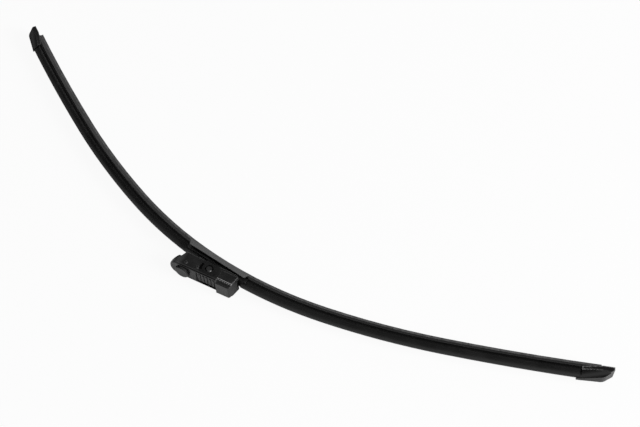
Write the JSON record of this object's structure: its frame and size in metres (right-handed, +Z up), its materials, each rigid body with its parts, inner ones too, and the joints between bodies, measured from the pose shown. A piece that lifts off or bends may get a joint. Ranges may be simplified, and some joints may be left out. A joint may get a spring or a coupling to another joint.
{
  "type": "wiper blade",
  "caption": "Bowed flat-beam wiper blade lying on its flank: rubber strip on spring rails, spoiler fins, end caps and a rocking arm adapter with a push-button release.",
  "frame": {"origin": "centre of the connector base's lower flank, on the surface that the blade lies on", "axes": "+X along the chord of the blade, +Y to its hollow side with the rubber lip, +Z up through the flanks"},
  "size_m": [0.6262, 0.1327, 0.0182],
  "materials": {
    "wiper_rubber": "satin coated rubber",
    "rail_steel": "black coated spring steel",
    "spoiler_elastomer": "semi-matt extruded elastomer",
    "cap_plastic": "fine textured moulding",
    "connector_plastic": "fine textured moulding",
    "pin_steel": "blackened steel",
    "spring_steel": "bare spring steel"
  },
  "bodies": {
    "blade": {"wiper_rubber": "wiper_rubber", "upper_rail": "rail_steel", "lower_rail": "rail_steel", "left_spoiler": "spoiler_elastomer", "right_spoiler": "spoiler_elastomer", "left_end_cap": "cap_plastic", "right_end_cap": "cap_plastic", "connector_base": "connector_plastic", "pivot_pin": "pin_steel"},
    "arm_adapter": {"adapter": "connector_plastic", "button_spring": "spring_steel"},
    "button": {"release_button": "connector_plastic"}
  },
  "joints": [
    {"name": "adapter_rock", "type": "hinge", "parent": "blade", "child": "arm_adapter", "pos_m": [0, -0.01155, 0.0091], "axis": [0, 0, 1], "range_deg": [-15, 1]},
    {"name": "button_press", "type": "slide", "parent": "arm_adapter", "child": "button", "axis": [-0.153, 0.9882, 0], "range_m": [0, 0.002], "stiffness_N_per_m": 1500, "springref_m": -0.0005, "deforming": ["button_spring"]}
  ]
}
